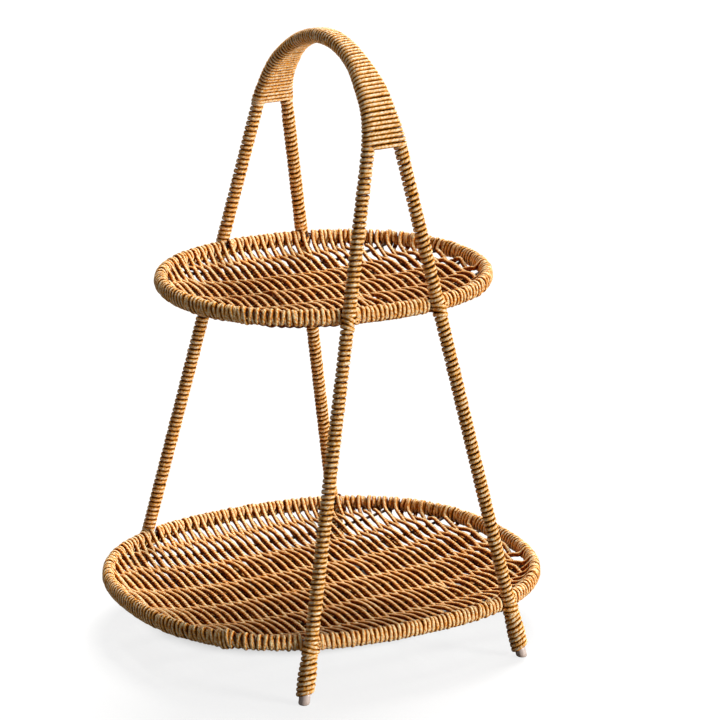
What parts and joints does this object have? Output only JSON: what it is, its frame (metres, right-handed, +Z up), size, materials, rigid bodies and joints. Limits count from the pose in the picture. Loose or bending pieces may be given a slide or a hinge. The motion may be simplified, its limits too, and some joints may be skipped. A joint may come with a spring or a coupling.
{
  "type": "woven tray stand",
  "caption": "Table-top stand with a large and a small oval cord-woven tray, one above the other, on two wrapped steel arches that meet in a carrying handle.",
  "frame": {"origin": "on the floor under the middle of the stand", "axes": "+X along the long axis of the trays, +Y to the back, +Z up; the handle's arch lies in the YZ plane"},
  "size_m": [0.251, 0.2174, 0.345],
  "materials": {
    "wound_cord": "twisted honey-coloured cord, wound side by side",
    "woven_cord": "twisted honey-coloured cord, woven over and under wires",
    "wire": "brown painted steel rod and wire",
    "cap": "milky translucent soft plastic"
  },
  "bodies": {
    "root": {"rod_left": "wire", "rod_right": "wire", "handle_wrap": "wound_cord", "lower_hoop": "wire", "lower_rim_wrap_back": "wound_cord", "lower_rim_wrap_left": "wound_cord", "lower_rim_wrap_front": "wound_cord", "lower_rim_wrap_right": "wound_cord", "lower_weave": "woven_cord", "lower_rib_1": "wire", "lower_rib_2": "wire", "lower_rib_3": "wire", "lower_rib_4": "wire", "lower_rib_5": "wire", "lower_rib_6": "wire", "upper_hoop": "wire", "upper_rim_wrap_back": "wound_cord", "upper_rim_wrap_left": "wound_cord", "upper_rim_wrap_front": "wound_cord", "upper_rim_wrap_right": "wound_cord", "upper_weave": "woven_cord", "upper_rib_1": "wire", "upper_rib_2": "wire", "upper_rib_3": "wire", "upper_rib_4": "wire", "upper_rib_5": "wire", "foot_cap_front_left": "cap", "foot_wrap_front_left": "wound_cord", "leg_wrap_front_left": "wound_cord", "shoulder_wrap_front_left": "wound_cord", "lower_lashing_front_left": "wound_cord", "upper_lashing_front_left": "wound_cord", "foot_cap_back_left": "cap", "foot_wrap_back_left": "wound_cord", "leg_wrap_back_left": "wound_cord", "shoulder_wrap_back_left": "wound_cord", "lower_lashing_back_left": "wound_cord", "upper_lashing_back_left": "wound_cord", "foot_cap_front_right": "cap", "foot_wrap_front_right": "wound_cord", "leg_wrap_front_right": "wound_cord", "shoulder_wrap_front_right": "wound_cord", "lower_lashing_front_right": "wound_cord", "upper_lashing_front_right": "wound_cord", "foot_cap_back_right": "cap", "foot_wrap_back_right": "wound_cord", "leg_wrap_back_right": "wound_cord", "shoulder_wrap_back_right": "wound_cord", "lower_lashing_back_right": "wound_cord", "upper_lashing_back_right": "wound_cord"}
  },
  "joints": []
}
